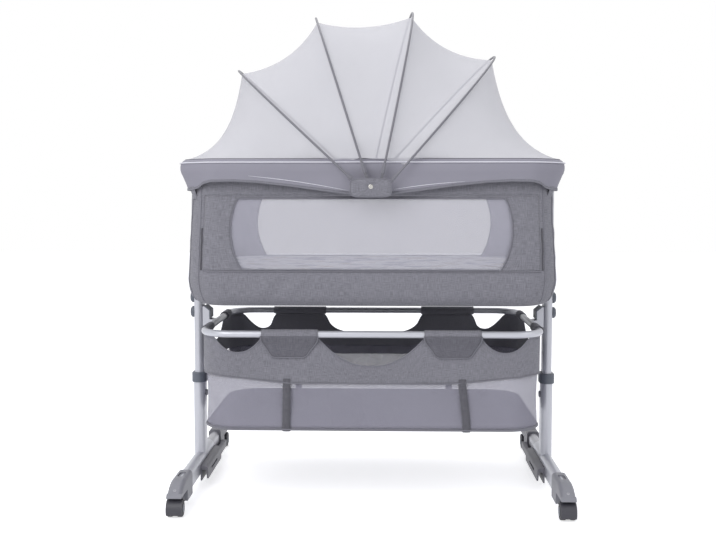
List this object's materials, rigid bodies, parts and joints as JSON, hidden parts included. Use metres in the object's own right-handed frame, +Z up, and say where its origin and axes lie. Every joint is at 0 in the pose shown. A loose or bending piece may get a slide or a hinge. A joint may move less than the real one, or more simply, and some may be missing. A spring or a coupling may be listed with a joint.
{
  "type": "bedside sleeper crib",
  "caption": "Bedside sleeper crib with fold-down side, folding net canopy on wire ribs, telescopic legs with casters and a storage basket.",
  "frame": {"origin": "on the floor, midway between the two legs and midway between the front and back casters", "axes": "+X to the right, +Y away from the viewer, +Z up"},
  "size_m": [0.8984, 0.667, 1.1452],
  "materials": {
    "silver_tube": "satin",
    "galvanised_tube": "dull",
    "grey_plastic": "fine grain",
    "dark_plastic": "fine grain",
    "rib_wire": "satin black coating",
    "rivet": "domed, bright",
    "tub_cloth": "grey melange linen weave",
    "window_mesh": "fine mesh",
    "net": "fine netting",
    "padding": "foam sleeve under netting",
    "mattress_cover": "soft printed cotton",
    "board": "thin board",
    "trim": "bound tape",
    "wheel_rubber": "hard tread"
  },
  "bodies": {
    "crib": {"rim_tube": "galvanised_tube", "rim_sleeve": "padding", "net_flap": "net", "body_fabric": "tub_cloth", "panel_zips": "trim", "window_mesh_back": "window_mesh", "base_frame": "galvanised_tube", "base_board": "board", "mattress": "mattress_cover", "post_left": "silver_tube", "post_right": "silver_tube", "bolt_caps": "dark_plastic", "shelf_ring": "silver_tube", "bracket_covers": "dark_plastic", "storage_skirt": "tub_cloth", "basket_mesh": "window_mesh", "basket_floor": "tub_cloth", "basket_piping": "trim", "basket_straps": "trim", "hub_front": "grey_plastic", "hub_back": "grey_plastic", "hub_rivets": "rivet"},
    "drop_side": {"side_panel": "tub_cloth", "window_mesh_front": "window_mesh"},
    "canopy_rib_d": {"rib_d": "rib_wire", "net_gore_c": "net", "net_right": "net"},
    "canopy_rib_c": {"rib_c": "rib_wire", "net_gore_b": "net"},
    "canopy_rib_b": {"rib_b": "rib_wire", "net_gore_a": "net"},
    "canopy_rib_a": {"rib_a": "rib_wire", "net_left": "net"},
    "leg_left": {"leg_tube_left": "silver_tube", "collar_left": "grey_plastic", "foot_cap_left": "grey_plastic", "foot_guide_left": "grey_plastic"},
    "button_left": {"leg_button_left": "grey_plastic"},
    "back_foot_left": {"back_foot_tube_left": "silver_tube", "back_foot_cap_left": "grey_plastic"},
    "caster_front_left": {"caster_fork_front_left": "dark_plastic"},
    "wheels_front_left": {"caster_wheels_front_left": "wheel_rubber"},
    "caster_back_left": {"caster_fork_back_left": "dark_plastic"},
    "wheels_back_left": {"caster_wheels_back_left": "wheel_rubber"},
    "leg_right": {"leg_tube_right": "silver_tube", "collar_right": "grey_plastic", "foot_cap_right": "grey_plastic", "foot_guide_right": "grey_plastic"},
    "button_right": {"leg_button_right": "grey_plastic"},
    "back_foot_right": {"back_foot_tube_right": "silver_tube", "back_foot_cap_right": "grey_plastic"},
    "caster_front_right": {"caster_fork_front_right": "dark_plastic"},
    "wheels_front_right": {"caster_wheels_front_right": "wheel_rubber"},
    "caster_back_right": {"caster_fork_back_right": "dark_plastic"},
    "wheels_back_right": {"caster_wheels_back_right": "wheel_rubber"}
  },
  "joints": [
    {"name": "side_fold", "type": "hinge", "parent": "crib", "child": "drop_side", "pos_m": [0, -0.272, 0.541], "axis": [1, 0, 0], "range_deg": [0, 172]},
    {"name": "canopy_d", "type": "hinge", "parent": "crib", "child": "canopy_rib_d", "pos_m": [0, 0, 0.725], "axis": [0, 1, 0], "range_deg": [0, 12.1], "deforming": ["net_right"]},
    {"name": "canopy_c", "type": "hinge", "parent": "canopy_rib_d", "child": "canopy_rib_c", "pos_m": [0, 0, 0.725], "axis": [0, 1, 0], "range_deg": [0, 23.8], "deforming": ["net_gore_c"]},
    {"name": "canopy_b", "type": "hinge", "parent": "canopy_rib_c", "child": "canopy_rib_b", "pos_m": [0, 0, 0.725], "axis": [0, 1, 0], "range_deg": [0, 23.7], "deforming": ["net_gore_b"]},
    {"name": "canopy_a", "type": "hinge", "parent": "canopy_rib_b", "child": "canopy_rib_a", "pos_m": [0, 0, 0.725], "axis": [0, 1, 0], "range_deg": [0, 23.4], "deforming": ["net_gore_a", "net_left"]},
    {"name": "height_left", "type": "slide", "parent": "crib", "child": "leg_left", "axis": [0, 0, 1], "range_m": [-0.05, 0.05]},
    {"name": "press_left", "type": "slide", "parent": "leg_left", "child": "button_left", "axis": [-1, 0, 0], "range_m": [0, 0.0025], "stiffness_N_per_m": 600, "springref_m": -0.002},
    {"name": "foot_slide_left", "type": "slide", "parent": "leg_left", "child": "back_foot_left", "axis": [0, 1, 0], "range_m": [-0.075, 0]},
    {"name": "swivel_front_left", "type": "hinge", "parent": "leg_left", "child": "caster_front_left", "pos_m": [-0.43, -0.3, 0.05], "axis": [0, 0, 1], "continuous": true},
    {"name": "roll_front_left", "type": "hinge", "parent": "caster_front_left", "child": "wheels_front_left", "pos_m": [-0.43, -0.312, 0.0185], "axis": [1, 0, 0], "continuous": true},
    {"name": "swivel_back_left", "type": "hinge", "parent": "back_foot_left", "child": "caster_back_left", "pos_m": [-0.43, 0.3, 0.05], "axis": [0, 0, 1], "continuous": true},
    {"name": "roll_back_left", "type": "hinge", "parent": "caster_back_left", "child": "wheels_back_left", "pos_m": [-0.43, 0.312, 0.0185], "axis": [1, 0, 0], "continuous": true},
    {"name": "height_right", "type": "slide", "parent": "crib", "child": "leg_right", "axis": [0, 0, 1], "range_m": [-0.05, 0.05]},
    {"name": "press_right", "type": "slide", "parent": "leg_right", "child": "button_right", "axis": [1, 0, 0], "range_m": [0, 0.0025], "stiffness_N_per_m": 600, "springref_m": -0.002},
    {"name": "foot_slide_right", "type": "slide", "parent": "leg_right", "child": "back_foot_right", "axis": [0, 1, 0], "range_m": [-0.075, 0]},
    {"name": "swivel_front_right", "type": "hinge", "parent": "leg_right", "child": "caster_front_right", "pos_m": [0.43, -0.3, 0.05], "axis": [0, 0, 1], "continuous": true},
    {"name": "roll_front_right", "type": "hinge", "parent": "caster_front_right", "child": "wheels_front_right", "pos_m": [0.43, -0.312, 0.0185], "axis": [1, 0, 0], "continuous": true},
    {"name": "swivel_back_right", "type": "hinge", "parent": "back_foot_right", "child": "caster_back_right", "pos_m": [0.43, 0.3, 0.05], "axis": [0, 0, 1], "continuous": true},
    {"name": "roll_back_right", "type": "hinge", "parent": "caster_back_right", "child": "wheels_back_right", "pos_m": [0.43, 0.312, 0.0185], "axis": [1, 0, 0], "continuous": true}
  ]
}
